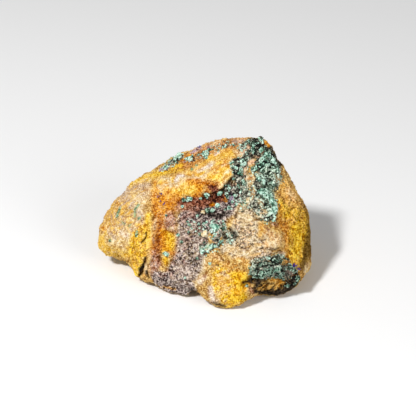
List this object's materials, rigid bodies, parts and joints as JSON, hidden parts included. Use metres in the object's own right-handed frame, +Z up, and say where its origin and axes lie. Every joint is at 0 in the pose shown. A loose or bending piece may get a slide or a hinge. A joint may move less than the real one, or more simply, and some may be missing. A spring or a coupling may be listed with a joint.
{
  "type": "azurite malachite specimen",
  "caption": "Broken lump of ochre limonite matrix with lumpy green malachite crusts and small blue azurite sheaves; rests on a flat break.",
  "frame": {"origin": "middle of the specimen's box at the level of the flat break it rests on", "axes": "+Z up, +X along the length, the display side with most of the malachite faces -Y"},
  "size_m": [0.0918, 0.0716, 0.0585],
  "materials": {
    "matrix": "rough earthy limonite, ochre to rust and plum",
    "malachite": "velvety green crust of small balls",
    "azurite": "glassy deep blue blades"
  },
  "bodies": {
    "root": {"matrix": "matrix", "malachite_summit": "malachite", "malachite_slope": "malachite", "malachite_cluster": "malachite", "malachite_saddle": "malachite", "malachite_pocket": "malachite", "malachite_ledge": "malachite", "malachite_brow": "malachite", "malachite_ridge": "malachite", "malachite_back": "malachite", "malachite_back_low": "malachite", "azurite_ledge": "azurite", "azurite_shelf": "azurite", "azurite_brow": "azurite"}
  },
  "joints": []
}
